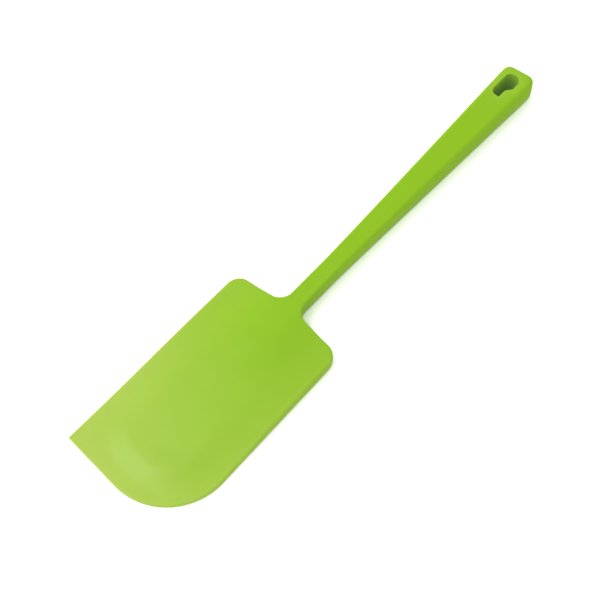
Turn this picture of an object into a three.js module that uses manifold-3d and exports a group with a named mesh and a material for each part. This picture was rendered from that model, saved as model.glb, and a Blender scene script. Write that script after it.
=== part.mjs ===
import * as THREE from 'three';
import { mergeVertices } from 'three/addons/utils/BufferGeometryUtils.js';
import Module from 'manifold-3d';

// A silicone spatula lying flat, in millimetres. A stiff core runs from the hanging hole down the handle and
// ends as a thin tongue in the blade, and soft silicone is moulded all round it.
// While it is built, X runs from the blade tip (negative) to the handle end (positive), and X = 0 is the line
// through the two shoulder corners. At the end the part is moved to stand on the middle of its own box.

// Blade outline
const bladeLength = 101; // from the sharp tip corner to the shoulder corners
const tipWidth = 61.6;
const shoulderWidth = 58.4;
const tipSlant = 4.2; // degrees off square, so that the round corner reaches furthest
const tipCornerRadius = 30;
const shoulderSlope = 3; // degrees off square
const shoulderCornerRadius = 7;
const neckFilletRadius = 6;

// Blade thickness
const shoulderThickness = 5.5; // at the side edges, by the shoulders
const lipThickness = 1.3;
const lipFlatWidth = 6; // level strip along the free edges
const lipBandWidth = 17; // from those edges to the top of the ramp behind the strip
const lipBandRise = 1.2; // height that the ramp climbs
const thinningLength = 78; // stretch behind the tip over which the blade thins
const bladeCrown = 1.2; // extra height on the centre line
const ridgeLength = 50; // stretch of blade on which the handle's top fades out
const ridgeSpread = 22; // half width of that ridge

// Handle
const handleLength = 161.6; // from the shoulder corners to the middle of the end
const neckWidth = 8.2;
const gripWidth = 15.85;
const neckThickness = 9.6;
const gripThickness = 13.2;
const neckEdgeRadius = 0.8;
const gripEdgeRadius = 2.2;
const neckRun = 20; // level stretch of the handle past the neck fillets
const flareLevelShare = 0.1; // how slowly the flare starts, from 0 to just under a half
const endSlant = 6.8; // degrees off square
const endCornerRadius = 4;
const neckLift = 0.6; // height of the underside above the table at the neck
const bladeLiftRun = 20; // stretch of blade over which that lift starts
const handleLiftRun = 80; // stretch of handle over which it dies away

// Hanging hole, wide at the handle end, with a slanted step on one side
const holeEndGap = 4.3; // silicone between the hole and the handle end
const holeLength = 14.7;
const holeFarSide = 4.35; // from the handle's middle to the straight side
const holeNearSide = 3.05; // from the handle's middle to the side with the step
const holeWideLength = 7.2;
const holeSlotWidth = 5.05;
const holeStepRun = 2.9; // stretch over which the slot widens
const holeStepRadius = 2;
const holeNookRadius = 0.5;
const holeShoulderRadius = 2.9; // where the slot's end meets the straight side
const holeHeelRadius = 0.9; // where the slot's end meets its other side
const holeEndRoundness = 0.96; // share of the wide end's half width that is round

// Stiffener core
const gripCover = 1.8; // silicone over the bar inside the handle
const coreClearance = 0.3; // between the core and the silicone round it
const tongueMargin = 14; // silicone beside the tongue and between it and the shoulders
const tongueTipMargin = 18; // silicone beyond the tongue's end
const tongueRootThickness = 2.4;
const tongueTipThickness = 1.2;
const tongueRoundRadius = 18;
const tongueCornerRadius = 6;
const tongueRootRadius = 8;
const tongueRampLength = 10; // stretch of tongue that swells up to the bar
const eyeThickness = 5;
const eyeRampLength = 6;

// Windows in the core, which the silicone runs through
const tongueWindowLength = 12;
const tongueWindowWidth = 6;
const tongueWindowSpacing = 18; // between the two rows
const tongueWindowCount = 3;
const barWindowLength = 11;
const barWindowWidth = 3;
const barWindowCount = 4;

// Fineness of the model
const arcSegments = 6;
const flareSteps = 8;
const tipSteps = 15;
const bladeSteps = 5;
const neckSteps = 5;
const handleSteps = 7;
const eyeSteps = 5;
const weldDistance = 1e-4;
const overhang = 3; // how far a cutting shape runs past what it cuts

const wasm = await Module();
wasm.setup();

const slopeOf = (degrees) => Math.tan(THREE.MathUtils.degToRad(degrees));
const { lerp, smoothstep, clamp } = THREE.MathUtils;

// Places along X that follow from the sizes
const neckStart = slopeOf(shoulderSlope) * (shoulderWidth - neckWidth) / 2;
const handleStart = neckStart + neckFilletRadius;
const flareStart = handleStart + neckRun;
const flareEnd = handleLength - 2 * endCornerRadius;
const holeEnd = handleLength - holeEndGap;
const holeStart = holeEnd - holeLength;
const eyeStart = holeStart - 2 * eyeRampLength;
const tipReach = -bladeLength - slopeOf(tipSlant) * tipWidth;
const sideTaper = (tipWidth - shoulderWidth) / 2 / bladeLength;

const handleShare = (x) => clamp((x - handleStart) / (flareEnd - handleStart), 0, 1);

// Half width of the handle: level past the neck, then an even flare
function handleHalfWidth(x) {
  const steepness = 1 - 2 * flareLevelShare;
  const along = clamp((x - flareStart) / (flareEnd - flareStart), 0, 1);
  const root = Math.sqrt(flareLevelShare ** 2 + steepness * along);
  const flare = ((root - flareLevelShare) / steepness) ** 2;
  return lerp(neckWidth, gripWidth, flare) / 2;
}

// The arc that rounds one corner between its two neighbours
function cornerArc(before, corner, after) {
  const here = new THREE.Vector2(corner.x, corner.y);
  const back = new THREE.Vector2(before.x, before.y).sub(here).normalize();
  const onward = new THREE.Vector2(after.x, after.y).sub(here).normalize();
  const halfAngle = Math.acos(clamp(back.dot(onward), -1, 1)) / 2;
  const reach = corner.radius / Math.tan(halfAngle);
  const middle = back.clone().add(onward).normalize();
  const centre = here.clone().addScaledVector(middle, corner.radius / Math.sin(halfAngle));
  const first = here.clone().addScaledVector(back, reach).sub(centre);
  const last = here.clone().addScaledVector(onward, reach).sub(centre);
  return { centre, first, last, clockwise: back.cross(onward) > 0 };
}

// A closed outline through corner points, rounded where they have a radius, as the first one has
function roundedOutline(corners) {
  const shape = new THREE.Shape();
  corners.forEach((corner, index) => {
    if (!corner.radius) {
      shape.lineTo(corner.x, corner.y);
      return;
    }
    const arc = cornerArc(corners.at(index - 1), corner, corners[(index + 1) % corners.length]);
    const { centre, first, last } = arc;
    if (index === 0) shape.moveTo(centre.x + first.x, centre.y + first.y);
    shape.absarc(centre.x, centre.y, corner.radius, first.angle(), last.angle(), arc.clockwise);
  });
  return shape;
}

// Corners along one side of the handle, from the neck to the end, drawn in by an inset
function handleSide(side, inset) {
  return Array.from({ length: flareSteps + 1 }, (_, step) => {
    const x = lerp(flareStart, flareEnd, step / flareSteps);
    return { x, y: side * (handleHalfWidth(x) - inset) };
  });
}

// The two end corners, drawn in by an inset from the slanted end
function handleEnd(inset, radius) {
  const half = gripWidth / 2 - inset;
  const drawIn = inset / Math.cos(THREE.MathUtils.degToRad(endSlant));
  return [-1, 1].map((side) => ({
    x: handleLength - drawIn - side * half * slopeOf(endSlant),
    y: side * half,
    radius,
  }));
}

// Corners of the blade or of a smaller blade drawn in from its edges
function bladeCorners(sideInset, tipInset, shoulderInset, waistHalf) {
  const sideAt = (x) => shoulderWidth / 2 - sideTaper * x - sideInset;
  const slant = slopeOf(tipSlant);
  const tipMiddle = -bladeLength - slant * tipWidth / 2 + tipInset / Math.cos(Math.atan(slant));
  const onTip = (side) => {
    const x = (tipMiddle - side * (sideInset - shoulderWidth / 2) * slant) / (1 + side * slant * sideTaper);
    return { x, y: side * sideAt(x) };
  };
  const half = sideAt(-shoulderInset);
  const waistX = slopeOf(shoulderSlope) * (half - waistHalf) - shoulderInset;
  return {
    sharp: onTip(1),
    round: onTip(-1),
    shoulder: (side) => ({ x: -shoulderInset, y: side * half }),
    waist: (side) => ({ x: waistX, y: side * waistHalf }),
  };
}

const blade = bladeCorners(0, 0, 0, neckWidth / 2);
const roundCorner = { ...blade.round, radius: tipCornerRadius };

function bodyOutline() {
  return roundedOutline([
    roundCorner,
    { ...blade.shoulder(-1), radius: shoulderCornerRadius },
    { ...blade.waist(-1), radius: neckFilletRadius },
    ...handleSide(-1, 0),
    ...handleEnd(0, endCornerRadius),
    ...handleSide(1, 0).reverse(),
    { ...blade.waist(1), radius: neckFilletRadius },
    { ...blade.shoulder(1), radius: shoulderCornerRadius },
    blade.sharp,
  ]);
}

// The core's outline, grown all round to make room for it in the silicone
function coreOutline(growth) {
  const cover = gripCover - growth;
  const margin = tongueMargin - growth;
  const tongue = bladeCorners(margin, tongueTipMargin - growth, margin, neckWidth / 2 - cover);
  return roundedOutline([
    { ...tongue.sharp, radius: tongueCornerRadius + growth },
    { ...tongue.round, radius: tongueRoundRadius + growth },
    { ...tongue.shoulder(-1), radius: tongueCornerRadius + growth },
    { ...tongue.waist(-1), radius: tongueRootRadius - growth },
    ...handleSide(-1, cover),
    ...handleEnd(cover, endCornerRadius - cover),
    ...handleSide(1, cover).reverse(),
    { ...tongue.waist(1), radius: tongueRootRadius - growth },
    { ...tongue.shoulder(1), radius: tongueCornerRadius + growth },
  ]);
}

function holeOutline() {
  const slotFoot = holeFarSide - holeSlotWidth;
  const nook = holeEnd - holeWideLength;
  const endRadius = holeEndRoundness * (holeFarSide + holeNearSide) / 2;
  return roundedOutline([
    { x: holeStart, y: holeFarSide, radius: holeShoulderRadius },
    { x: holeStart, y: slotFoot, radius: holeHeelRadius },
    { x: nook - holeStepRun, y: slotFoot, radius: holeStepRadius },
    { x: nook, y: -holeNearSide, radius: holeNookRadius },
    { x: holeEnd, y: -holeNearSide, radius: endRadius },
    { x: holeEnd, y: holeFarSide, radius: endRadius },
  ]);
}

// A slot with round ends, lying along X
function windowOutline(x, y, length, width) {
  const half = width / 2;
  const straight = length / 2 - half;
  const shape = new THREE.Shape();
  shape.moveTo(x - straight, y - half);
  shape.absarc(x + straight, y, half, -Math.PI / 2, Math.PI / 2, false);
  shape.absarc(x - straight, y, half, Math.PI / 2, Math.PI * 1.5, false);
  return shape;
}

// Heights of the table side, which lifts a little at the neck
function undersideHeight(x) {
  const onBlade = smoothstep(x, -bladeLiftRun, handleStart);
  const onHandle = 1 - smoothstep(x, handleStart, handleStart + handleLiftRun);
  return neckLift * onBlade * onHandle;
}

function handleTop(x) {
  return lerp(neckLift + neckThickness, gripThickness, handleShare(x));
}

// Thickness of the blade behind the ramp along its edges, without the crown
function bladeThickness(x) {
  const growth = smoothstep(x, tipReach, tipReach + thinningLength);
  return lerp(lipThickness + lipBandRise, shoulderThickness, growth);
}

// Distance in from the blade's tip and sides, with the round corner on one side of its centre
const roundCentre = cornerArc(blade.sharp, roundCorner, blade.shoulder(-1)).centre;

function edgeDistance(x, y) {
  const slant = THREE.MathUtils.degToRad(tipSlant);
  const fromTip = (x + bladeLength + Math.tan(slant) * (tipWidth / 2 - y)) * Math.cos(slant);
  const fromSide = shoulderWidth / 2 - sideTaper * x - Math.abs(y);
  const radius = y > roundCentre.y ? lipBandWidth : tipCornerRadius;
  return radius - Math.hypot(Math.max(radius - fromTip, 0), Math.max(radius - fromSide, 0));
}

function bladeTop(x, y) {
  const crown = bladeCrown * (1 - clamp(Math.abs(y) / (tipWidth / 2), 0, 1) ** 2);
  const band = 1 - smoothstep(edgeDistance(x, y), lipFlatWidth, lipBandWidth);
  const bandEnd = 1 - smoothstep(x, tipReach + thinningLength / 2, 0);
  const crownStart = smoothstep(x, tipReach, tipReach + thinningLength);
  return undersideHeight(x) + bladeThickness(x) + crown * crownStart - lipBandRise * band * bandEnd;
}

// How far a rounded edge has dropped at a distance inside the wall
function edgeDrop(distance, radius) {
  const inside = clamp(radius - distance, 0, radius);
  return radius - Math.sqrt(radius ** 2 - inside ** 2);
}

function handleEdgeRadius(x) {
  return lerp(neckEdgeRadius, gripEdgeRadius, handleShare(x));
}

function handleRounding(x, y) {
  const radius = handleEdgeRadius(x);
  const fromSide = handleHalfWidth(x) - Math.abs(y);
  return Math.max(edgeDrop(Math.max(fromSide, 0), radius), edgeDrop(Math.max(handleLength - x, 0), radius));
}

function bodyTop(x, y) {
  if (x >= handleStart) return handleTop(x) - handleRounding(x, y);
  const along = smoothstep(x, -ridgeLength, 0);
  const level = lerp(neckWidth / 4, neckWidth / 2, smoothstep(x, 0, handleStart));
  const across = 1 - smoothstep(Math.abs(y), level, ridgeSpread);
  return bladeTop(x, y) + (handleTop(x) - bladeTop(x, 0)) * along * across;
}

function bodyUnderside(x, y) {
  return undersideHeight(x) + (x >= handleStart ? handleRounding(x, y) : 0);
}

// Middle height and half thickness of the core
function coreRise(x) {
  return smoothstep(x, -tongueMargin - tongueRampLength, handleStart);
}

function coreMiddle(x) {
  const inBlade = undersideHeight(x) + bladeThickness(x) / 2;
  const inHandle = (undersideHeight(x) + handleTop(x)) / 2;
  return lerp(inBlade, inHandle, coreRise(x));
}

function coreHalfThickness(x) {
  const tongueShare = clamp((x - tipReach - tongueTipMargin) / -(tipReach + tongueTipMargin), 0, 1);
  const tongue = lerp(tongueTipThickness, tongueRootThickness, tongueShare) / 2;
  const bar = (handleTop(x) - undersideHeight(x)) / 2 - gripCover;
  const eyeShare = smoothstep(x, eyeStart, eyeStart + eyeRampLength);
  return lerp(lerp(tongue, bar, coreRise(x)), eyeThickness / 2, eyeShare);
}

// Shares of an edge radius at which a rounded edge is stepped, from its start to near the wall
const edgeShares = [1, 0.5, 0.2, 0.05];

function spread(from, to, count) {
  return Array.from({ length: count }, (_, index) => lerp(from, to, index / count));
}

// Stations along X at which the heights are taken, closer together where the form turns quickly
const lengthStations = [
  ...spread(tipReach - overhang, tipReach + thinningLength, tipSteps),
  ...spread(tipReach + thinningLength, 0, bladeSteps),
  ...spread(0, handleStart, neckSteps),
  ...spread(handleStart, eyeStart, handleSteps),
  ...spread(eyeStart, handleLength - gripEdgeRadius, eyeSteps),
  ...edgeShares.map((share) => handleLength - share * gripEdgeRadius),
  handleLength + overhang,
];

// Stations across, as shares of the blade's half width, and on the handle closing on its rounded edges
const bladeShares = [0, 0.15, 0.32, 0.52, 0.74, 0.9, 1];

function acrossStation(x, row) {
  const middle = bladeShares.length - 1;
  const index = Math.abs(row - middle);
  const onBlade = bladeShares[index] * (tipWidth / 2 + overhang);
  const half = handleHalfWidth(x);
  const radius = handleEdgeRadius(x);
  const onEdge = edgeShares.map((share) => half - share * radius);
  const onHandle = [0, (half - radius) / 2, ...onEdge, half + overhang];
  return Math.sign(row - middle) * lerp(onBlade, onHandle[index], smoothstep(x, -overhang, handleStart));
}

function solidFrom(geometry) {
  geometry.deleteAttribute('normal');
  geometry.deleteAttribute('uv');
  const merged = mergeVertices(geometry, weldDistance);
  return new wasm.Manifold(new wasm.Mesh({
    numProp: 3,
    vertProperties: new Float32Array(merged.attributes.position.array),
    triVerts: new Uint32Array(merged.index.array),
  }));
}

// A slab whose top and underside follow two height formulas, with its stations slanted like the handle end
function heightSolid(top, underside) {
  const columns = lengthStations.length - 1;
  const rows = 2 * (bladeShares.length - 1);
  const geometry = new THREE.BoxGeometry(1, 1, 1, columns, rows, 1);
  const position = geometry.attributes.position;
  for (let index = 0; index < position.count; index += 1) {
    const along = lengthStations[Math.round((position.getX(index) + 0.5) * columns)];
    const across = acrossStation(along, Math.round((position.getY(index) + 0.5) * rows));
    const height = position.getZ(index) > 0 ? top(along, across) : underside(along, across);
    const slant = slopeOf(endSlant) * clamp((along - handleStart) / (handleLength - handleStart), 0, 1);
    position.setXYZ(index, along - slant * across, across, height);
  }
  return solidFrom(geometry);
}

// An upright prism that runs past the part above and below
function prism(outline) {
  const geometry = new THREE.ExtrudeGeometry(outline, {
    depth: gripThickness + 2 * overhang,
    bevelEnabled: false,
    curveSegments: arcSegments,
  });
  return solidFrom(geometry.translate(0, 0, -overhang));
}

function windowPrisms(shrink) {
  const tongueStart = tipReach + tongueTipMargin;
  const tongueRun = -tongueMargin - tongueStart;
  const barStart = handleStart + gripWidth;
  const barRun = eyeStart - barStart;
  const length = tongueWindowLength - 2 * shrink;
  const width = tongueWindowWidth - 2 * shrink;
  const outlines = [];
  for (let index = 0; index < tongueWindowCount; index += 1) {
    const x = tongueStart + tongueRun * (index + 1) / (tongueWindowCount + 1);
    outlines.push(windowOutline(x, tongueWindowSpacing / 2, length, width));
    outlines.push(windowOutline(x, -tongueWindowSpacing / 2, length, width));
  }
  for (let index = 0; index < barWindowCount; index += 1) {
    const x = barStart + barRun * (index + 1) / (barWindowCount + 1);
    outlines.push(windowOutline(x, 0, barWindowLength - 2 * shrink, barWindowWidth - 2 * shrink));
  }
  return outlines.map(prism);
}

function coreSolid(growth) {
  const slab = heightSolid(
    (x) => coreMiddle(x) + coreHalfThickness(x) + growth,
    (x) => coreMiddle(x) - coreHalfThickness(x) - growth,
  );
  const core = prism(coreOutline(growth)).intersect(slab);
  return windowPrisms(growth).reduce((solid, window) => solid.subtract(window), core);
}

function bodySolid() {
  return prism(bodyOutline()).intersect(heightSolid(bodyTop, bodyUnderside));
}

function namedMesh(name, solid, material) {
  const { vertProperties, triVerts } = solid.getMesh();
  const geometry = new THREE.BufferGeometry();
  geometry.setAttribute('position', new THREE.BufferAttribute(vertProperties, 3));
  geometry.setIndex(new THREE.BufferAttribute(triVerts, 1));
  geometry.computeVertexNormals();
  const mesh = new THREE.Mesh(geometry, material);
  mesh.name = name;
  return mesh;
}

const limeSilicone = new THREE.MeshStandardMaterial({ color: 0x93c62b, roughness: 0.45, metalness: 0 });
const greenNylon = new THREE.MeshStandardMaterial({ color: 0x76a529, roughness: 0.55, metalness: 0 });

const hole = prism(holeOutline());
const siliconeBody = bodySolid().subtract(hole).subtract(coreSolid(coreClearance));
const stiffenerCore = coreSolid(0).subtract(hole);

const spatula = new THREE.Group();
spatula.add(namedMesh('silicone_body', siliconeBody, limeSilicone));
spatula.add(namedMesh('stiffener_core', stiffenerCore, greenNylon));

const box = new THREE.Box3().setFromObject(spatula);
const boxCentre = box.getCenter(new THREE.Vector3());
spatula.position.set(-boxCentre.x, -boxCentre.y, -box.min.z);

export default spatula;
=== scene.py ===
"""A lime-green silicone spatula on a white table: the silicone, its stiff core, and the studio."""

import math

import bmesh
import bpy
from bpy.props import FloatProperty, FloatVectorProperty, PointerProperty
from mathutils import Matrix, Vector


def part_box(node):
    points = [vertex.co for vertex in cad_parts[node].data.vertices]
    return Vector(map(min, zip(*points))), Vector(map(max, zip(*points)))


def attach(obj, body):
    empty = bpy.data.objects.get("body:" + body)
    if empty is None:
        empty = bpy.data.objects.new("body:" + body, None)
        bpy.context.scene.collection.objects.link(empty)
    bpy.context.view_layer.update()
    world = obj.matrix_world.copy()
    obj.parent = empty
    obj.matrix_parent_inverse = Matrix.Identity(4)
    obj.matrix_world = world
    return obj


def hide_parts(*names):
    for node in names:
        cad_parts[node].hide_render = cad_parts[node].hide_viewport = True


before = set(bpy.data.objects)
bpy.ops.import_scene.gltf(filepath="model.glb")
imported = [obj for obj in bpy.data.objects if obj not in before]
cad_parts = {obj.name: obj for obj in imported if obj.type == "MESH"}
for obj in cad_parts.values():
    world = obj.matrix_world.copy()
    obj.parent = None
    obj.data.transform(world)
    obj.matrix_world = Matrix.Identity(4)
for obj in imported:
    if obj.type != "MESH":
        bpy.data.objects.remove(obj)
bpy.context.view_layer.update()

bl_info = {
    "name": "Silicone Spatula",
    "version": (1, 0, 0),
    "blender": (4, 5, 0),
    "location": "View3D > Sidebar > Spatula",
    "description": "Models a one-piece silicone spatula round its stiff core, with its studio",
    "category": "Object",
}

MM = 0.001
BODY = "silicone"
BODY_NODE = "silicone_body"
CORE_NODE = "stiffener_core"
WHITE = (1, 1, 1, 1)

# Fineness of the silicone's mesh, with the depths of the edge rings in millimetres in from the wall
ARC_STEP = math.radians(3)
LINE_STEP = 5 * MM
FLARE_STEPS = 40
BLADE_SLICE = 2.5 * MM
HANDLE_SLICE = 4 * MM
RIM_STEPS = 8
RING_DEPTHS = (0.02, 0.06, 0.15, 0.3, 0.5, 0.75, 1.0, 1.4, 1.9, 2.4, 3.0)
SMOOTH_ANGLE = math.radians(40)
WELD = 0.002 * MM

# The blank is first built on plain levels, which tell each point's place on the finished edge
PARTING_LEVEL = 1 * MM
RIM_LEVEL = 2 * MM
INNER_LEVEL = RIM_LEVEL + RING_DEPTHS[-1] * MM
LEVEL_SLACK = 0.001 * MM
FACING = 0.9  # least height of the unit normal on a face that looks up or down

# The hole's cutter rounds each rim almost to the face, slants out a little more, and runs on past the face
RIM_TURN = math.radians(80)
RIM_RUNOUT = 0.5
RIM_OVERRUN = 4 * MM

# Shares that shape the silicone
EDGE_SHARE = 0.4  # of the thickness, the most that one rounded edge takes
RIDGE_FLAT = 0.25  # of the neck's width, half the level top of the ridge on the blade

# How far a rounded edge has turned under where the painted grey reflection on the low walls starts to fade,
# and where it ends
UNDER_TURN = (0.5, 0.95)

# Fixed values of the finishes
NOISE_DETAIL = {"Grain": 2, "Cloud": 3}
CLOUD_RANGE = (0.3, 0.7)  # holds nearly all of the cloud noise
GRAIN_HEIGHT = 0.05 * MM
SCATTER_WEIGHT = 0.3
SCATTER_RADIUS = (1, 0.9, 0.3)
SCATTER_SCALE = 0.5 * MM
SHEEN_START = 0.6  # how far a face is turned away where its gloss starts to grow
NYLON_IOR = 1.53

# Studio: the table's side in metres, and the camera's sensor in millimetres
TABLE_SIDE = 6
SENSOR_WIDTH = 36
NEAREST_SEEN = 10 * MM


def size(name, description, millimetres):
    """A length that a user can change, given in millimetres."""
    return FloatProperty(
        name=name, description=description, default=millimetres * MM, min=0, precision=5, unit="LENGTH"
    )


def slope(name, description, degrees):
    """An angle that a user can change, given in degrees."""
    return FloatProperty(name=name, description=description, default=math.radians(degrees), subtype="ANGLE")


def share(name, description, default):
    """A share from 0 to 1 that a user can change."""
    return FloatProperty(
        name=name, description=description, default=default, min=0, max=1, subtype="FACTOR"
    )


def number(name, description, default, unit="NONE"):
    """A plain number that a user can change, with its unit if it has one."""
    return FloatProperty(name=name, description=description, default=default, unit=unit)


def tint(name, description, default):
    """A colour that a user can change."""
    return FloatVectorProperty(
        name=name, description=description, default=default, size=3, min=0, max=1, subtype="COLOR"
    )


def place(name, description, millimetres):
    """A place that a user can change, given in millimetres."""
    return FloatVectorProperty(
        name=name, description=description, default=Vector(millimetres) * MM, size=3, subtype="TRANSLATION"
    )


class SpatulaBlade(bpy.types.PropertyGroup):
    """Sizes of the blade."""

    length: size("Length", "From the sharp tip corner to the shoulder corners", 101)
    tip_width: size("Tip width", "Across the tip corners", 61.6)
    shoulder_width: size("Shoulder width", "Across the shoulder corners", 58.4)
    tip_slant: slope("Tip slant", "Slant of the tip edge off square", 4.2)
    tip_radius: size("Round tip corner", "Radius of the round tip corner", 30)
    shoulder_slope: slope("Shoulder slope", "Slope of the shoulders off square", 3)
    shoulder_radius: size("Shoulder corners", "Radius of the shoulder corners", 7)
    fillet: size("Neck fillet", "Radius where the shoulders meet the handle", 6)
    shoulder_thickness: size("Shoulder thickness", "Thickness of the sides by the shoulders", 5.5)
    lip_thickness: size("Lip thickness", "Thickness of the tip edge", 1.3)
    lip_flat: size("Lip strip", "Width of the level strip along the free edges", 6)
    lip_band: size("Lip band", "From the free edges to the top of the ramp behind the strip", 17)
    panel_radius: size("Panel radius", "Corner radius of the face behind the lip, on the sharp side", 23)
    lip_rise: size("Lip rise", "Height that the ramp climbs", 1.2)
    thinning: size("Thinning", "Stretch behind the tip over which the blade thins", 78)
    crown: size("Crown", "Extra height on the centre line", 1.2)
    ridge_length: size("Ridge length", "Stretch of blade on which the handle's top fades out", 50)
    ridge_spread: size("Ridge spread", "Half width of that ridge", 22)
    top_edge: size("Top edge", "Radius of the top edges", 1)
    under_edge: size("Underside edge", "Radius of the underside's edges", 0.7)


class SpatulaHandle(bpy.types.PropertyGroup):
    """Sizes of the handle."""

    length: size("Length", "From the shoulder corners to the middle of the end", 161.6)
    neck_width: size("Neck width", "Width at the neck", 8.2)
    grip_width: size("Grip width", "Width at the end", 15.85)
    neck_thickness: size("Neck thickness", "Thickness at the neck", 9.6)
    grip_thickness: size("Grip thickness", "Thickness at the end", 13.2)
    neck_edge: size("Neck edge", "Radius of the long edges at the neck", 0.8)
    grip_edge: size("Grip edge", "Radius of the long edges at the end", 2.2)
    neck_run: size("Neck run", "Level stretch past the neck fillets", 20)
    level_share: share("Level share", "How slowly the flare starts", 0.1)
    end_slant: slope("End slant", "Slant of the end off square", 6.8)
    end_radius: size("End corners", "Radius of the end corners", 4)
    neck_lift: size("Neck lift", "Height of the underside above the table at the neck", 0.6)
    blade_lift_run: size("Blade lift run", "Stretch of blade over which that lift starts", 20)
    handle_lift_run: size("Handle lift run", "Stretch of handle over which that lift dies away", 80)


class SpatulaHole(bpy.types.PropertyGroup):
    """Sizes of the stepped hanging hole."""

    end_gap: size("End gap", "Silicone between the hole and the handle end", 4.3)
    length: size("Length", "Whole length of the hole", 14.7)
    far_side: size("Far side", "From the handle's middle to the hole's straight side", 4.35)
    near_side: size("Near side", "From the handle's middle to the side with the step", 3.05)
    wide_length: size("Wide length", "Length of its wide part", 7.2)
    slot_width: size("Slot width", "Width of its narrow part", 5.05)
    step_run: size("Step run", "Length over which the slot widens", 2.9)
    step_radius: size("Step radius", "Radius where the slot starts to widen", 2)
    nook_radius: size("Nook radius", "Radius of the corner at the end of the step", 0.5)
    shoulder_radius: size("Shoulder radius", "Radius where the slot's end meets the straight side", 2.9)
    heel_radius: size("Heel radius", "Radius where the slot's end meets its other side", 0.9)
    end_roundness: share("End roundness", "Share of the wide end's half width that is round", 0.96)
    rim: size("Rim", "Radius of the top rim", 0.5)
    under_rim: size("Underside rim", "Radius of the rim on the table side", 0.3)
    draft: size("Draft", "How far the walls lean in towards the table", 0.35)
    liner: size("Liner", "Silicone that lines the hole inside the core's eye", 0.25)


class SpatulaMould(bpy.types.PropertyGroup):
    """Marks that the mould leaves, and how closely the silicone holds its core."""

    skin: size("Skin", "How far the silicone stays inside the nominal outline", 0.07)
    parting_height: size("Parting line height", "Height of the fine rib where the mould halves met", 0.12)
    parting_proud: size("Parting line depth", "How far that rib stands proud", 0.015)
    draft: size("Draft", "How far the walls lean in above and below that rib", 0.1)
    core_room: size("Core room", "Gap between the silicone and its core", 0.08)


class SpatulaFinish(bpy.types.PropertyGroup):
    """Colours of the silicone and its core, and how much painted light and painted grey reflection and shade
    the silicone's colour takes: paler where light comes through or highlights fall, greyer low on the walls
    and deep in the hole.
    """

    deep: tint("Thick silicone", "Colour where the silicone is thick", (0.284, 0.55, 0.0095))
    # Painted light: the paler colour stands in for light that comes through thin silicone, and none is
    # painted where the silicone is as thick as Thick.
    pale: tint("Thin silicone", "Colour where it is thinnest and light comes through", (0.445, 0.62, 0.088))
    thick: size("Thick", "Thickness at which no light comes through", 10.6)
    # Painted light through the blade: how much, how it fades towards the shoulders, and how much more is
    # painted on the far side than in the middle.
    blade_light: share("Blade light", "How pale the silicone is where it is as thin as the lip", 0.755)
    root_light: share("Root light", "How much of that is left at the shoulders", 0.5)
    root_run: size("Root run", "Stretch of blade over which it fades towards the shoulders", 60)
    far_light: share("Far light", "How much more light comes through the far side than the middle", 0.33)
    far_run: size("Far run", "Distance behind the tip over which that starts", 36)
    # Painted highlight: a paler band along the tip edge, stronger towards the far corner.
    tip_glow: share("Tip glow", "How much paler the middle of the tip edge is than the lip behind it", 0.17)
    tip_reach: size("Tip reach", "How far in from the tip edge that goes", 12)
    # Painted highlight along the blade's edges.
    edge_glow: share("Edge glow", "How much paler the blade's edges are than the face beside them", 0.17)
    edge_reach: size("Edge reach", "How far in from the blade's edges that goes", 4)
    # Painted highlight round the rim of the hanging hole.
    hole_glow: share("Hole glow", "How much paler the handle is round the hanging hole", 0.27)
    hole_reach: size("Hole reach", "How far out from the hole that goes", 5)
    # Painted grey reflection and shade: this colour greys the low outer walls, where the white table is
    # reflected, and the hanging hole's walls, the more the deeper they go.
    painted_reflection: tint("Bloom", "Colour of the dull film on the walls and deep in the hole", (0.39, 0.57, 0.25))
    wall_painted_reflection: share("Wall bloom", "How much of it the outer walls show at the table", 0.28)
    painted_reflection_depth: size("Bloom depth", "Depth in the hole at which it covers the wall", 9)
    nylon: tint("Nylon", "Colour of the stiff core", (0.26, 0.46, 0.06))


class SpatulaStudio(bpy.types.PropertyGroup):
    """Camera, lamps, sky and table."""

    camera: place("Camera", "Where the camera stands", (-228.11, -183.76, 554.77))
    aim: place("Aim", "Point that the camera looks at", (-21.06, 0.23, 5))
    roll: slope("Roll", "Turn of the camera about its own line of sight", 0.16)
    lens: number("Lens", "Focal length in millimetres", 86.28, "CAMERA")
    key: place("Key lamp", "Where the large soft lamp stands", (-1000, 270, 850))
    key_size: size("Key size", "Side of that lamp", 900)
    key_power: number("Key power", "Power of that lamp", 1.2, "POWER")
    strip: place("Strip lamp", "Where the long lamp hangs over the blade's far side", (-275, 410, 1020))
    strip_width: size("Strip width", "Width of that lamp, along the spatula", 150)
    strip_length: size("Strip length", "Length of that lamp, across the spatula", 480)
    strip_power: number("Strip power", "Power of that lamp", 2.5, "POWER")
    sky: number("Sky", "Mean strength of the light from all round", 0.83)
    sky_side: FloatVectorProperty(
        name="Sky side",
        description="Way in which that light grows, and by what share",
        default=(-0.15, 0.21, 0),
        size=3,
        subtype="XYZ",
    )
    table: number("Table", "Brightness of the table", 0.84)
    seen_table: number("Seen table", "Brightness of the table as it is seen", 1.55)


def ramp(value, start, end):
    """Climbs evenly from 0 at start to 1 at end."""
    return min(max((value - start) / (end - start), 0), 1)


def smooth(value, start, end):
    """Climbs softly from 0 at start to 1 at end."""
    along = ramp(value, start, end)
    return along * along * (3 - 2 * along)


def mix(first, last, along):
    """Goes evenly from first to last as along goes from 0 to 1."""
    return first + (last - first) * along


def edge_drop(depth, radius):
    """How far a rounded edge has dropped at a depth inside the wall."""
    inside = min(max(radius - depth, 0), radius)
    return radius - math.sqrt(radius * radius - inside * inside)


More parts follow.
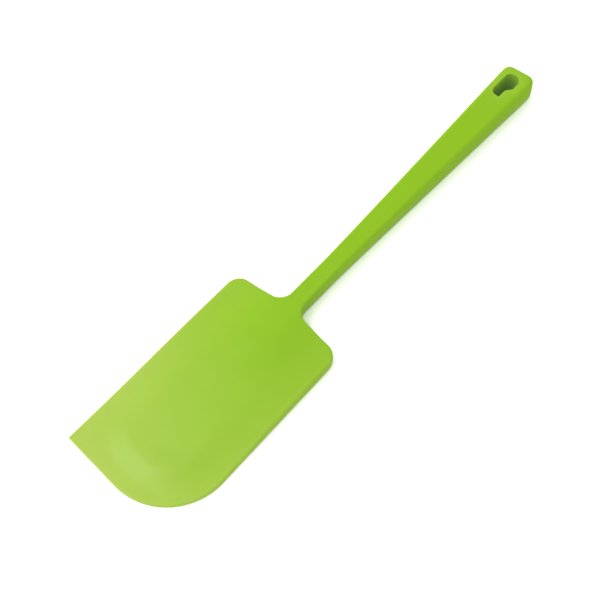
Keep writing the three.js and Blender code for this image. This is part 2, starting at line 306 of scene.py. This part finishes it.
def corner_arc(before, corner, after, radius):
    """Points of the arc that rounds one corner between its two neighbours."""
    back = (before - corner).normalized()
    onward = (after - corner).normalized()
    half = back.angle(onward) / 2
    centre = corner + (back + onward).normalized() * (radius / math.sin(half))
    spoke = corner + back * (radius / math.tan(half)) - centre
    turn = math.copysign(math.pi - 2 * half, onward.cross(back))
    steps = math.ceil(abs(turn) / ARC_STEP)
    return [centre + Matrix.Rotation(turn * step / steps, 2) @ spoke for step in range(steps + 1)]


def rounded_outline(corners):
    """A closed outline through corners given as x, y and radius."""
    spots = [Vector(corner[:2]) for corner in corners]
    points = []
    for index, (_, _, radius) in enumerate(corners):
        after = spots[(index + 1) % len(spots)]
        points += corner_arc(spots[index - 1], spots[index], after, radius) if radius else [spots[index]]
    return points


def stepped(points):
    """The same closed outline with its long straight stretches divided."""
    finer = []
    for index, start in enumerate(points):
        end = points[(index + 1) % len(points)]
        steps = max(math.ceil((end - start).length / LINE_STEP), 1)
        finer += [start.lerp(end, step / steps) for step in range(steps)]
    return finer


def drawn_in(points, distance):
    """The same closed outline, drawn in by a small distance."""
    inner = []
    for index, point in enumerate(points):
        run = points[(index + 1) % len(points)] - points[index - 1]
        inner.append(point + Vector((-run.y, run.x)).normalized() * distance)
    return inner


def distance_to(points, spot):
    """Distance from a spot to a closed outline."""
    nearest = math.inf
    for index, start in enumerate(points):
        run = points[(index + 1) % len(points)] - start
        along = min(max((spot - start).dot(run) / run.length_squared, 0), 1)
        nearest = min(nearest, (start + run * along - spot).length)
    return nearest


class Form:
    """The spatula's shape, worked out from its sizes, with X = 0 on the line of the shoulder corners."""

    def __init__(self, scene):
        self.blade = blade = scene.spatula_blade
        self.handle = handle = scene.spatula_handle
        self.hole = hole = scene.spatula_hole
        self.mould = scene.spatula_mould
        self.waist = math.tan(blade.shoulder_slope) * (blade.shoulder_width - handle.neck_width) / 2
        self.handle_start = self.waist + blade.fillet
        self.flare_start = self.handle_start + handle.neck_run
        self.flare_end = handle.length - 2 * handle.end_radius
        self.hole_end = handle.length - hole.end_gap
        self.tip_slope = math.tan(blade.tip_slant)
        self.tip_reach = -blade.length - self.tip_slope * blade.tip_width
        self.taper = (blade.tip_width - blade.shoulder_width) / 2 / blade.length
        self.hole_edge = self.hole_outline(0)

    def handle_along(self, x):
        """Share of the way along the handle."""
        return ramp(x, self.handle_start, self.flare_end)

    def handle_half(self, x):
        """Half width of the handle: level past the neck, then an even flare."""
        slow = self.handle.level_share
        steep = 1 - 2 * slow
        root = math.sqrt(slow * slow + steep * ramp(x, self.flare_start, self.flare_end))
        flare = ((root - slow) / steep) ** 2
        return mix(self.handle.neck_width, self.handle.grip_width, flare) / 2

    def side(self, x):
        """Half width of the blade between its straight sides."""
        return self.blade.shoulder_width / 2 - self.taper * x

    def tip_corner(self, hand):
        """Where the line of the tip edge meets the blade's far side, or its near side if hand is -1."""
        blade = self.blade
        middle = -blade.length - self.tip_slope * blade.tip_width / 2
        lead = hand * blade.shoulder_width / 2 * self.tip_slope
        x = (middle + lead) / (1 + hand * self.tip_slope * self.taper)
        return x, hand * self.side(x)

    def outline(self):
        """The whole plan outline, counter-clockwise from the round tip corner."""
        blade, handle = self.blade, self.handle
        shares = [step / FLARE_STEPS for step in range(FLARE_STEPS + 1)]
        flare = [mix(self.flare_start, self.flare_end, along) for along in shares]
        half = handle.grip_width / 2
        lead = half * math.tan(handle.end_slant)
        near, far = [], []
        for hand, side in ((-1, near), (1, far)):
            side.append((0, hand * blade.shoulder_width / 2, blade.shoulder_radius))
            side.append((self.waist, hand * handle.neck_width / 2, blade.fillet))
            side += [(x, hand * self.handle_half(x), 0) for x in flare]
            side.append((handle.length - hand * lead, hand * half, handle.end_radius))
        round_corner = (*self.tip_corner(-1), blade.tip_radius)
        sharp_corner = (*self.tip_corner(1), 0)
        return stepped(rounded_outline([round_corner, *near, *reversed(far), sharp_corner]))

    def hole_outline(self, growth):
        """The hanging hole's outline, grown all round."""
        hole = self.hole
        foot = hole.far_side - hole.slot_width
        nook = self.hole_end - hole.wide_length
        start = self.hole_end - hole.length
        end_round = hole.end_roundness * (hole.far_side + hole.near_side) / 2
        corners = [
            (start, hole.far_side, hole.shoulder_radius),
            (start, foot, hole.heel_radius),
            (nook - hole.step_run, foot, hole.step_radius),
            (nook, -hole.near_side, hole.nook_radius),
            (self.hole_end, -hole.near_side, end_round),
            (self.hole_end, hole.far_side, end_round),
        ]
        return drawn_in(rounded_outline(corners), hole.liner - growth)

    def underside(self, x):
        """Height of the table side, which lifts a little at the neck."""
        on_blade = smooth(x, -self.handle.blade_lift_run, self.handle_start)
        on_handle = 1 - smooth(x, self.handle_start, self.handle_start + self.handle.handle_lift_run)
        return self.handle.neck_lift * on_blade * on_handle

    def handle_top(self, x):
        """Height of the handle's top, which climbs from the neck to the end."""
        neck = self.handle.neck_lift + self.handle.neck_thickness
        return mix(neck, self.handle.grip_thickness, self.handle_along(x))

    def tip_distance(self, x, y):
        """Distance in from the straight line of the tip edge."""
        blade = self.blade
        return (x + blade.length + self.tip_slope * (blade.tip_width / 2 - y)) * math.cos(blade.tip_slant)

    def edge_distance(self, x, y):
        """Distance in from the blade's tip and sides, round a wide corner on either side."""
        blade = self.blade
        from_tip = self.tip_distance(x, y)
        from_side = self.side(x) - abs(y)
        radius = blade.panel_radius if y > blade.tip_radius - blade.tip_width / 2 else blade.tip_radius
        return radius - math.hypot(max(radius - from_tip, 0), max(radius - from_side, 0))

    def blade_top(self, x, y):
        """Height of the blade's top without the ridge: thin and flat at the lip, crowned behind it."""
        blade = self.blade
        growth = smooth(x, self.tip_reach, self.tip_reach + blade.thinning)
        thickness = mix(blade.lip_thickness + blade.lip_rise, blade.shoulder_thickness, growth)
        crown = blade.crown * growth * (1 - min(abs(y) / (blade.tip_width / 2), 1) ** 2)
        band = 1 - smooth(self.edge_distance(x, y), blade.lip_flat, blade.lip_band)
        band *= 1 - smooth(x, self.tip_reach + blade.thinning / 2, 0)
        return self.underside(x) + thickness + crown - blade.lip_rise * band

    def top(self, x, y):
        """Height of the top: the handle's, which runs out over the blade as a low ridge."""
        if x >= self.handle_start:
            return self.handle_top(x)
        along = smooth(x, -self.blade.ridge_length, 0)
        flat = RIDGE_FLAT * self.handle.neck_width * (1 + smooth(x, 0, self.handle_start))
        across = 1 - smooth(abs(y), flat, self.blade.ridge_spread)
        on_blade = self.blade_top(x, y)
        return on_blade + (self.handle_top(x) - self.blade_top(x, 0)) * along * across

    def edge_radius(self, x, y, blade_edge):
        """Radius of the rounded edges, never more than the thickness has room for."""
        on_handle = mix(self.handle.neck_edge, self.handle.grip_edge, self.handle_along(x))
        radius = mix(blade_edge, on_handle, smooth(x, 0, self.handle_start))
        return min(radius, EDGE_SHARE * (self.top(x, y) - self.underside(x)))

    def height(self, x, y, built_on):
        """Finished height of a point of the blank, from the level that it was built on."""
        top, under = self.top(x, y), self.underside(x)
        top_radius = self.edge_radius(x, y, self.blade.top_edge)
        under_radius = self.edge_radius(x, y, self.blade.under_edge)
        if abs(built_on) < RIM_LEVEL - LEVEL_SLACK:
            middle = (top - top_radius + under + under_radius) / 2
            return middle + math.copysign(self.mould.parting_height / 2, built_on)
        depth = abs(built_on) - RIM_LEVEL
        if built_on > 0:
            return top - edge_drop(depth, top_radius)
        return under + edge_drop(depth, under_radius)

    def hole_gap(self, x, y):
        """Distance from the edge of the hanging hole."""
        return distance_to(self.hole_edge, Vector((x, y)))

    def painted_light(self, x, y, finish):
        """How much painted light the colour takes: light through the silicone, none where it is thick and
        most at the tip edge, with painted highlights at the tip, along the blade's edges and round the
        hanging hole.
        """
        blade = self.blade
        thickness = self.top(x, y) - self.underside(x)
        # Painted light that comes through thin silicone.
        through = finish.blade_light * ramp(thickness, finish.thick, blade.lip_thickness)
        through *= mix(finish.root_light, 1, smooth(-x, 0, finish.root_run))
        # On the handle, a painted highlight round the hanging hole's rim.
        if x > 0:
            return through + finish.hole_glow * (1 - smooth(self.hole_gap(x, y), 0, finish.hole_reach))
        from_tip = self.tip_distance(x, y)
        far_side = y / (blade.tip_width / 2)
        # More painted light on the far side than in the middle.
        through *= 1 + finish.far_light * far_side * smooth(from_tip, 0, finish.far_run)
        # Painted highlight along the tip edge.
        through += finish.tip_glow * (1 + far_side) * (1 - smooth(from_tip, 0, finish.tip_reach))
        # Painted highlight along the blade's edges.
        through += finish.edge_glow * (1 - smooth(self.edge_distance(x, y), 0, finish.edge_reach))
        return min(through, 1)

    def painted_reflection(self, spot, finish):
        """How much painted grey reflection and shade there is: some low on the outer walls, most deep in the
        hanging hole.
        """
        x, y, z = spot
        # In the hanging hole: painted grey reflection and shade, more the deeper it goes.
        if self.hole_gap(x, y) < self.hole.rim:
            return smooth(self.handle_top(x) - z, self.hole.rim, finish.painted_reflection_depth)
        # On the outer walls: painted grey reflection of the table, most low on the wall, fading out where
        # the underside edge turns under.
        under = self.underside(x)
        low = 1 - ramp(z, under, self.top(x, y))
        turned_under = 1 - (z - under) / self.edge_radius(x, y, self.blade.under_edge)
        return finish.wall_painted_reflection * low**2 * (1 - smooth(turned_under, *UNDER_TURN))


def select_only(piece):
    """Makes a piece the only selected object, and the active one."""
    bpy.ops.object.select_all(action="DESELECT")
    piece.select_set(True)
    bpy.context.view_layer.objects.active = piece


def add_disc(name, points, height):
    """A flat face with its corners on the given outline, open in edit mode with the face selected."""
    bpy.ops.object.select_all(action="DESELECT")
    bpy.ops.mesh.primitive_circle_add(vertices=len(points), radius=1, fill_type="NGON")
    disc = bpy.context.active_object
    disc.name = disc.data.name = name
    bpy.ops.object.mode_set(mode="EDIT")
    bpy.ops.mesh.select_mode(type="FACE")
    work = bmesh.from_edit_mesh(disc.data)
    work.verts.ensure_lookup_table()
    for vertex, point in zip(work.verts, points):
        vertex.co = (point.x, point.y, height)
    bmesh.update_edit_mesh(disc.data)
    return disc


def select_faces(piece, wanted):
    """Selects the faces of a piece in edit mode that pass a test."""
    bpy.ops.mesh.select_all(action="DESELECT")
    work = bmesh.from_edit_mesh(piece.data)
    for face in work.faces:
        face.select_set(wanted(face))
    bmesh.update_edit_mesh(piece.data)


def step_in(widths):
    """Insets the selected face ring by ring, and raises it as far as it goes in."""
    for width in widths:
        bpy.ops.mesh.inset(thickness=width, depth=width, use_even_offset=True)


def stations(start, end, spacing):
    """Evenly spaced places between two ends, half a space in from each."""
    count = max(round((end - start) / spacing), 1)
    return [mix(start, end, (index + 0.5) / count) for index in range(count)]


def slice_panels(piece, places, normal):
    """Cuts the two wide inner faces along parallel planes, to give them points to take their shape from."""
    for spot in places:
        select_faces(piece, lambda face: abs(abs(face.calc_center_median().z) - INNER_LEVEL) < LEVEL_SLACK)
        bpy.ops.mesh.bisect(plane_co=Vector(normal) * spot, plane_no=normal)


def apply_boolean(piece, tool, name):
    """Cuts a tool out of a piece and removes the tool."""
    cut = piece.modifiers.new(name, "BOOLEAN")
    cut.operation = "DIFFERENCE"
    cut.solver = "MANIFOLD"
    cut.object = tool
    select_only(piece)
    bpy.ops.object.modifier_apply(modifier=cut.name)
    bpy.data.objects.remove(tool)
    if not piece.data.polygons:
        raise RuntimeError(f"{name} left nothing of {piece.name}")


def tidy_mesh(piece):
    """Merges doubled points and turns every face outwards."""
    select_only(piece)
    bpy.ops.object.mode_set(mode="EDIT")
    bpy.ops.mesh.select_all(action="SELECT")
    bpy.ops.mesh.remove_doubles(threshold=WELD)
    bpy.ops.mesh.normals_make_consistent(inside=False)
    bpy.ops.object.mode_set(mode="OBJECT")


def shade_faces(piece):
    """Shades the piece smooth, with every corner kept crisp, the hollow ones beside the parting rib too."""
    select_only(piece)
    bpy.ops.object.shade_smooth_by_angle(angle=SMOOTH_ANGLE)
    bpy.ops.object.mode_set(mode="EDIT")
    bpy.ops.mesh.select_mode(type="EDGE")
    bpy.ops.mesh.select_all(action="DESELECT")
    bpy.ops.mesh.edges_select_sharp(sharpness=SMOOTH_ANGLE)
    bpy.ops.mesh.mark_sharp()
    bpy.ops.object.mode_set(mode="OBJECT")


def mould_blank(form):
    """The silicone without its hole and core: a stepped blank, settled to its finished heights."""
    mould = form.mould
    points = drawn_in(form.outline(), mould.skin)
    body = add_disc(BODY, points, -PARTING_LEVEL)
    bpy.ops.mesh.extrude_region_move(TRANSFORM_OT_translate={"value": (0, 0, 2 * PARTING_LEVEL)})
    bpy.ops.mesh.select_all(action="SELECT")
    bpy.ops.mesh.normals_make_consistent(inside=False)
    depths = (0, *RING_DEPTHS)
    rings = [(after - before) * MM for before, after in zip(depths, RING_DEPTHS)]
    for hand in (1, -1):
        select_faces(body, lambda face: face.normal.z * hand > FACING)
        bpy.ops.mesh.inset(thickness=mould.parting_proud, depth=0, use_even_offset=True)
        bpy.ops.mesh.inset(thickness=mould.draft, depth=RIM_LEVEL - PARTING_LEVEL, use_even_offset=True)
        step_in(rings)
    slice_panels(body, stations(form.tip_reach, form.handle_start, BLADE_SLICE), (1, 0, 0))
    slice_panels(body, stations(form.handle_start, form.handle.length, HANDLE_SLICE), (1, 0, 0))
    half = form.blade.tip_width / 2
    slice_panels(body, stations(-half, half, BLADE_SLICE), (0, 1, 0))
    work = bmesh.from_edit_mesh(body.data)
    for vertex in work.verts:
        vertex.co.z = form.height(*vertex.co)
    bmesh.update_edit_mesh(body.data)
    bpy.ops.object.mode_set(mode="OBJECT")
    return body


def rim_profile(radius):
    """Depths and growths of a rounded rim, from the wall to the face, and of the cutter's flare past it."""
    turns = [RIM_TURN * step / RIM_STEPS for step in range(RIM_STEPS + 1)]
    profile = [(radius * (1 - math.sin(turn)), radius * (1 - math.cos(turn))) for turn in turns]
    depth, growth = profile[-1]
    run = radius * math.sin(RIM_TURN) * RIM_RUNOUT
    rise = radius * math.cos(RIM_TURN) * RIM_RUNOUT
    return profile + [(depth - rise, growth + run), (-RIM_OVERRUN, growth + run)]


def hole_cutter(form):
    """A plug the shape of the hanging hole, flared at both ends to round the rims."""
    hole = form.hole
    under = [(False, depth, growth - hole.draft) for depth, growth in rim_profile(hole.under_rim)]
    over = [(True, depth, growth) for depth, growth in rim_profile(hole.rim)]
    cutter = None
    for from_top, depth, growth in under[::-1] + over:
        points = form.hole_outline(growth)
        if cutter is None:
            cutter = add_disc("hole_cutter", points, 0)
        else:
            bpy.ops.mesh.extrude_region_move(TRANSFORM_OT_translate={"value": (0, 0, hole.rim)})
        work = bmesh.from_edit_mesh(cutter.data)
        ring = [vertex for vertex in work.verts if vertex.select]
        for vertex, point in zip(ring, points):
            height = form.handle_top(point.x) - depth if from_top else depth
            vertex.co = (point.x, point.y, height)
        bmesh.update_edit_mesh(cutter.data)
    bpy.ops.object.mode_set(mode="OBJECT")
    tidy_mesh(cutter)
    return cutter


def core_cutter(room):
    """A copy of the core, grown by the gap that the silicone leaves round it."""
    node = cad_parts[CORE_NODE]
    copy = bpy.data.objects.new("core_cutter", node.data.copy())
    bpy.context.scene.collection.objects.link(copy)
    tidy_mesh(copy)
    swell = copy.modifiers.new("Room", "DISPLACE")
    swell.strength = room
    swell.mid_level = 0
    bpy.ops.object.modifier_apply(modifier=swell.name)
    return copy


def shift_to_node(form):
    """Shift that takes the form from its own place to that of the silicone's CAD node."""
    low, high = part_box(BODY_NODE)
    points = form.outline()
    middle = [(min(p[axis] for p in points) + max(p[axis] for p in points)) / 2 for axis in (0, 1)]
    return Vector(((low.x + high.x) / 2 - middle[0], (low.y + high.y) / 2 - middle[1], 0))


def mark_points(body, form, shift, finish):
    """Stores on each point how much painted light and how much painted grey reflection and shade its colour
    takes.
    """
    # Painted light and painted grey reflection and shade, kept as point attributes for the silicone's
    # colour.
    thin = body.data.attributes.new("painted_light", "FLOAT", "POINT")
    reflection_paint = body.data.attributes.new("painted_reflection", "FLOAT", "POINT")
    for index, vertex in enumerate(body.data.vertices):
        spot = vertex.co - shift
        thin.data[index].value = form.painted_light(spot.x, spot.y, finish)
        reflection_paint.data[index].value = form.painted_reflection(spot, finish)


def moulded_grain():
    """Node group for the finish that a mould leaves: a fine grain, and slow clouds of sheen and tone."""
    group = bpy.data.node_groups.new("Moulded Grain", "ShaderNodeTree")
    nodes, links = group.nodes, group.links
    enter = nodes.new("NodeGroupInput")
    leave = nodes.new("NodeGroupOutput")
    coordinates = nodes.new("ShaderNodeTexCoord")
    for name, detail in NOISE_DETAIL.items():
        scale = f"{name} Scale"
        group.interface.new_socket(scale, in_out="INPUT", socket_type="NodeSocketFloat")
        group.interface.new_socket(name, in_out="OUTPUT", socket_type="NodeSocketFloat")
        noise = nodes.new("ShaderNodeTexNoise")
        noise.inputs["Detail"].default_value = detail
        links.new(coordinates.outputs["Object"], noise.inputs["Vector"])
        links.new(enter.outputs[scale], noise.inputs["Scale"])
        links.new(noise.outputs["Fac"], leave.inputs[name])
    return group


def new_material(name):
    """A material with an empty node tree, its shader and its output."""
    material = bpy.data.materials.new(name)
    material.use_nodes = True
    nodes = material.node_tree.nodes
    nodes.clear()
    shader = nodes.new("ShaderNodeBsdfPrincipled")
    output = nodes.new("ShaderNodeOutputMaterial")
    material.node_tree.links.new(shader.outputs["BSDF"], output.inputs["Surface"])
    return material, shader


def moulded_finish(material, shader, grain_scale, cloud_scale, bump, roughness):
    """Gives a shader the mould's grain as bump and its clouds as roughness, and returns the clouds."""
    nodes, links = material.node_tree.nodes, material.node_tree.links
    grain = nodes.new("ShaderNodeGroup")
    grain.node_tree = bpy.data.node_groups.get("Moulded Grain") or moulded_grain()
    grain.inputs["Grain Scale"].default_value = grain_scale
    grain.inputs["Cloud Scale"].default_value = cloud_scale
    sheen = nodes.new("ShaderNodeMapRange")
    sheen.inputs["From Min"].default_value, sheen.inputs["From Max"].default_value = CLOUD_RANGE
    sheen.inputs["To Min"].default_value, sheen.inputs["To Max"].default_value = roughness
    links.new(grain.outputs["Cloud"], sheen.inputs["Value"])
    links.new(sheen.outputs["Result"], shader.inputs["Roughness"])
    relief = nodes.new("ShaderNodeBump")
    relief.inputs["Strength"].default_value = bump
    relief.inputs["Distance"].default_value = GRAIN_HEIGHT
    links.new(grain.outputs["Grain"], relief.inputs["Height"])
    links.new(relief.outputs["Normal"], shader.inputs["Normal"])
    return grain.outputs["Cloud"]


def set_colour(links, socket, colour):
    """Gives a socket a plain colour, or links it to another node's."""
    if isinstance(colour, bpy.types.NodeSocket):
        links.new(colour, socket)
    else:
        socket.default_value = (*colour, 1)


def clouded(material, colour, cloud, spread):
    """A colour made a little darker and lighter by the clouds."""
    nodes, links = material.node_tree.nodes, material.node_tree.links
    tone = nodes.new("ShaderNodeMapRange")
    tone.inputs["To Min"].default_value = 1 - spread
    tone.inputs["To Max"].default_value = 1 + spread
    links.new(cloud, tone.inputs["Value"])
    shaded = nodes.new("ShaderNodeMix")
    shaded.data_type = "RGBA"
    shaded.blend_type = "MULTIPLY"
    shaded.inputs["Factor"].default_value = 1
    links.new(tone.outputs["Result"], shaded.inputs["B"])
    set_colour(links, shaded.inputs["A"], colour)
    return shaded.outputs["Result"]


def add_sheen(material, shader, facing, grazing):
    """Lays a weak gloss over a shader, held low at grazing angles, as on a surface with a fine grain."""
    nodes, links = material.node_tree.nodes, material.node_tree.links
    gloss = nodes.new("ShaderNodeBsdfAnisotropic")
    for name in ("Roughness", "Normal"):
        links.new(shader.inputs[name].links[0].from_socket, gloss.inputs[name])
    turned = nodes.new("ShaderNodeLayerWeight")
    weight = nodes.new("ShaderNodeMapRange")
    weight.inputs["From Min"].default_value = SHEEN_START
    weight.inputs["To Min"].default_value = facing
    weight.inputs["To Max"].default_value = grazing
    layered = nodes.new("ShaderNodeMixShader")
    output = next(node for node in nodes if node.bl_idname == "ShaderNodeOutputMaterial")
    links.new(turned.outputs["Facing"], weight.inputs["Value"])
    links.new(weight.outputs["Result"], layered.inputs["Fac"])
    links.new(shader.outputs["BSDF"], layered.inputs[1])
    links.new(gloss.outputs["BSDF"], layered.inputs[2])
    links.new(layered.outputs["Shader"], output.inputs["Surface"])


def lime_silicone(finish):
    """Satin silicone, with painted light where light comes through it or highlights fall, and painted grey
    reflection and shade low on the walls and deep in the hole.
    """
    material, shader = new_material("lime silicone")
    nodes, links = material.node_tree.nodes, material.node_tree.links
    cloud = moulded_finish(
        material, shader, grain_scale=1400, cloud_scale=70, bump=0.12, roughness=(0.285, 0.335)
    )
    colour = finish.deep
    # Mixes in the painted light, then the painted grey reflection and shade.
    for name, other in (("painted_light", finish.pale), ("painted_reflection", finish.painted_reflection)):
        amount = nodes.new("ShaderNodeAttribute")
        amount.attribute_name = name
        blend = nodes.new("ShaderNodeMix")
        blend.data_type = "RGBA"
        set_colour(links, blend.inputs["A"], colour)
        set_colour(links, blend.inputs["B"], other)
        links.new(amount.outputs["Fac"], blend.inputs["Factor"])
        colour = blend.outputs["Result"]
    links.new(clouded(material, colour, cloud, spread=0.03), shader.inputs["Base Color"])
    shader.inputs["Specular IOR Level"].default_value = 0
    shader.inputs["Subsurface Weight"].default_value = SCATTER_WEIGHT
    shader.inputs["Subsurface Radius"].default_value = SCATTER_RADIUS
    shader.inputs["Subsurface Scale"].default_value = SCATTER_SCALE
    add_sheen(material, shader, facing=0.02, grazing=0.07)
    return material


def green_nylon(finish):
    """Matt moulded nylon with faint flow marks."""
    material, shader = new_material("green nylon")
    cloud = moulded_finish(
        material, shader, grain_scale=900, cloud_scale=120, bump=0.2, roughness=(0.5, 0.62)
    )
    colour = clouded(material, finish.nylon, cloud, spread=0.08)
    material.node_tree.links.new(colour, shader.inputs["Base Color"])
    shader.inputs["IOR"].default_value = NYLON_IOR
    return material


def seen_ray(nodes, links):
    """1 on rays from the camera or off a glossy or clear surface, and 0 on the rest."""
    rays = nodes.new("ShaderNodeLightPath")
    first = nodes.new("ShaderNodeMath")
    last = nodes.new("ShaderNodeMath")
    first.operation = last.operation = "MAXIMUM"
    links.new(rays.outputs["Is Camera Ray"], first.inputs[0])
    links.new(rays.outputs["Is Glossy Ray"], first.inputs[1])
    links.new(first.outputs["Value"], last.inputs[0])
    links.new(rays.outputs["Is Transmission Ray"], last.inputs[1])
    return last.outputs["Value"]


def white_table(studio):
    """A pale matt table, brighter where it is seen, so that it is white and keeps its shadows."""
    material = bpy.data.materials.new("white table")
    material.use_nodes = True
    nodes, links = material.node_tree.nodes, material.node_tree.links
    nodes.clear()
    shader = nodes.new("ShaderNodeBsdfDiffuse")
    output = nodes.new("ShaderNodeOutputMaterial")
    brightness = nodes.new("ShaderNodeMapRange")
    brightness.inputs["To Min"].default_value = studio.table
    brightness.inputs["To Max"].default_value = studio.seen_table
    links.new(seen_ray(nodes, links), brightness.inputs["Value"])
    links.new(brightness.outputs["Result"], shader.inputs["Color"])
    links.new(shader.outputs["BSDF"], output.inputs["Surface"])
    return material


def add_lamp(name, spot, width, length, power):
    """A soft lamp that hangs level and faces down."""
    bpy.ops.object.light_add(type="AREA", location=spot)
    lamp = bpy.context.active_object
    lamp.name = lamp.data.name = name
    lamp.data.shape = "RECTANGLE"
    lamp.data.size = width
    lamp.data.size_y = length
    lamp.data.energy = power
    return lamp


def face_middle(lamp):
    """Turns a lamp to the middle of the table."""
    lamp.rotation_mode = "QUATERNION"
    lamp.rotation_quaternion = (-lamp.location).to_track_quat("-Z", "Y")


def light_sky(scene, studio):
    """Soft light from all round, stronger from one side, and white where it is seen."""
    sky = bpy.data.worlds.new("studio sky")
    scene.world = sky
    sky.use_nodes = True
    nodes, links = sky.node_tree.nodes, sky.node_tree.links
    nodes.clear()
    light = nodes.new("ShaderNodeBackground")
    backdrop = nodes.new("ShaderNodeBackground")
    light.inputs["Color"].default_value = backdrop.inputs["Color"].default_value = WHITE
    direction = nodes.new("ShaderNodeTexCoord")
    to_side = nodes.new("ShaderNodeVectorMath")
    to_side.operation = "DOT_PRODUCT"
    to_side.inputs[1].default_value = studio.sky_side
    strength = nodes.new("ShaderNodeMath")
    strength.operation = "MULTIPLY_ADD"
    strength.inputs[1].default_value = strength.inputs[2].default_value = studio.sky
    links.new(direction.outputs["Generated"], to_side.inputs[0])
    links.new(to_side.outputs["Value"], strength.inputs[0])
    links.new(strength.outputs["Value"], light.inputs["Strength"])
    chosen = nodes.new("ShaderNodeMixShader")
    output = nodes.new("ShaderNodeOutputWorld")
    links.new(seen_ray(nodes, links), chosen.inputs[0])
    links.new(light.outputs["Background"], chosen.inputs[1])
    links.new(backdrop.outputs["Background"], chosen.inputs[2])
    links.new(chosen.outputs["Shader"], output.inputs["Surface"])


def add_camera(scene, studio):
    """The camera at the photograph's viewing angle."""
    bpy.ops.object.camera_add(location=studio.camera)
    camera = bpy.context.active_object
    camera.data.lens = studio.lens
    camera.data.sensor_width = SENSOR_WIDTH
    camera.data.clip_start = NEAREST_SEEN
    sight = (Vector(studio.aim) - Vector(studio.camera)).to_track_quat("-Z", "Y")
    camera.rotation_mode = "QUATERNION"
    camera.rotation_quaternion = sight @ Matrix.Rotation(studio.roll, 3, "Z").to_quaternion()
    scene.camera = camera


class SPATULA_OT_silicone(bpy.types.Operator):
    """Moulds the silicone: blade, neck and handle in one, with the hanging hole and room for the core"""

    bl_idname = "spatula.silicone"
    bl_label = "Mould Silicone"

    def execute(self, context):
        scene = context.scene
        form = Form(scene)
        shift = shift_to_node(form)
        body = mould_blank(form)
        apply_boolean(body, hole_cutter(form), "Hanging hole")
        body.data.transform(Matrix.Translation(shift))
        apply_boolean(body, core_cutter(scene.spatula_mould.core_room), "Core room")
        mark_points(body, form, shift, scene.spatula_finish)
        shade_faces(body)
        body.data.materials.clear()
        body.data.materials.append(lime_silicone(scene.spatula_finish))
        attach(body, "root")
        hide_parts(BODY_NODE)
        return {"FINISHED"}


class SPATULA_OT_core(bpy.types.Operator):
    """Finishes the stiff core, which the silicone covers all over"""

    bl_idname = "spatula.core"
    bl_label = "Finish Core"

    def execute(self, context):
        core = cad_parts[CORE_NODE]
        core.data.materials.clear()
        core.data.materials.append(green_nylon(context.scene.spatula_finish))
        return {"FINISHED"}


class SPATULA_OT_studio(bpy.types.Operator):
    """Sets up the white table, the soft light and the camera"""

    bl_idname = "spatula.studio"
    bl_label = "Set Up Studio"

    def execute(self, context):
        studio = context.scene.spatula_studio
        bpy.ops.object.select_all(action="DESELECT")
        bpy.ops.mesh.primitive_plane_add(size=TABLE_SIDE)
        table = context.active_object
        table.name = "table"
        table.data.materials.append(white_table(studio))
        face_middle(add_lamp("key lamp", studio.key, studio.key_size, studio.key_size, studio.key_power))
        add_lamp("strip lamp", studio.strip, studio.strip_width, studio.strip_length, studio.strip_power)
        light_sky(context.scene, studio)
        add_camera(context.scene, studio)
        context.scene.view_settings.view_transform = "Standard"
        return {"FINISHED"}


class SPATULA_PT_panel(bpy.types.Panel):
    """Sizes, colours and building steps of the spatula"""

    bl_idname = "SPATULA_PT_panel"
    bl_label = "Silicone Spatula"
    bl_space_type = "VIEW_3D"
    bl_region_type = "UI"
    bl_category = "Spatula"

    def draw(self, context):
        for name, group in GROUPS.items():
            box = self.layout.box()
            box.label(text=group.__name__.removeprefix("Spatula"))
            settings = getattr(context.scene, name)
            for field in group.__annotations__:
                box.prop(settings, field)
        for operator in OPERATORS:
            self.layout.operator(operator.bl_idname)


GROUPS = {
    "spatula_blade": SpatulaBlade,
    "spatula_handle": SpatulaHandle,
    "spatula_hole": SpatulaHole,
    "spatula_mould": SpatulaMould,
    "spatula_finish": SpatulaFinish,
    "spatula_studio": SpatulaStudio,
}
OPERATORS = (SPATULA_OT_silicone, SPATULA_OT_core, SPATULA_OT_studio)


def register():
    for made in (*GROUPS.values(), *OPERATORS, SPATULA_PT_panel):
        bpy.utils.register_class(made)
    for name, group in GROUPS.items():
        setattr(bpy.types.Scene, name, PointerProperty(type=group))


def unregister():
    for name in GROUPS:
        delattr(bpy.types.Scene, name)
    for made in reversed((*GROUPS.values(), *OPERATORS, SPATULA_PT_panel)):
        bpy.utils.unregister_class(made)


def main():
    register()
    bpy.ops.spatula.silicone()
    bpy.ops.spatula.core()
    bpy.ops.spatula.studio()


if __name__ == "__main__":
    main()
